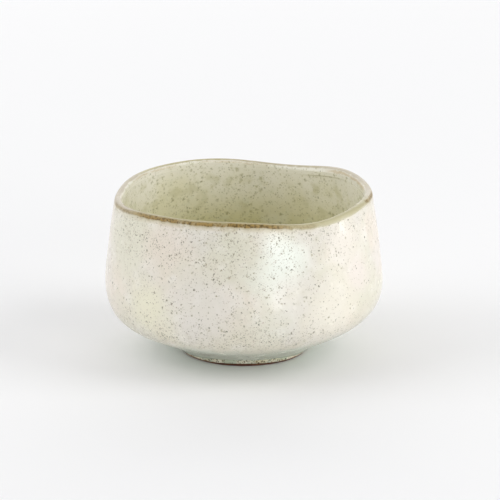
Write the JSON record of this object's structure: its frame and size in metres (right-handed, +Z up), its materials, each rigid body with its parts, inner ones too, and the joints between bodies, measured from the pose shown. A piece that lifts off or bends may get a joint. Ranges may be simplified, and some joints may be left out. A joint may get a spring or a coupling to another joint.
{
  "type": "matcha bowl",
  "caption": "Hand-formed stoneware tea bowl, upright wall with a wavy rounded rim, low foot ring, speckled pearly glaze outside, celadon glaze inside and a brown lip.",
  "frame": {"origin": "centre of the foot's footprint, on the surface the bowl stands on, under the middle of the belly", "axes": "+Z up out of the bowl's mouth, -Y towards the side that is usually looked at, +X to that viewer's right"},
  "size_m": [0.122, 0.122, 0.0728],
  "materials": {
    "stoneware_clay": "bare fired iron-bearing stoneware, fine sandy grain, matt",
    "pearl_glaze": "glossy pearly off-white glaze with fine dark iron specks",
    "celadon_glaze": "glossy pale olive celadon glaze with soft brown specks",
    "brown_rim_glaze": "glossy glaze thinned over the lip and broken to amber brown",
    "pooled_glaze": "thick glossy pale green glaze gathered in a roll",
    "thin_foot_glaze": "thin cream glaze with brown specks, satin"
  },
  "bodies": {
    "root": {"clay_body": "stoneware_clay", "foot_ring": "stoneware_clay", "outer_glaze": "pearl_glaze", "inner_glaze": "celadon_glaze", "rim_glaze": "brown_rim_glaze", "glaze_roll": "pooled_glaze", "foot_glaze": "thin_foot_glaze", "well_glaze": "celadon_glaze"}
  },
  "joints": []
}
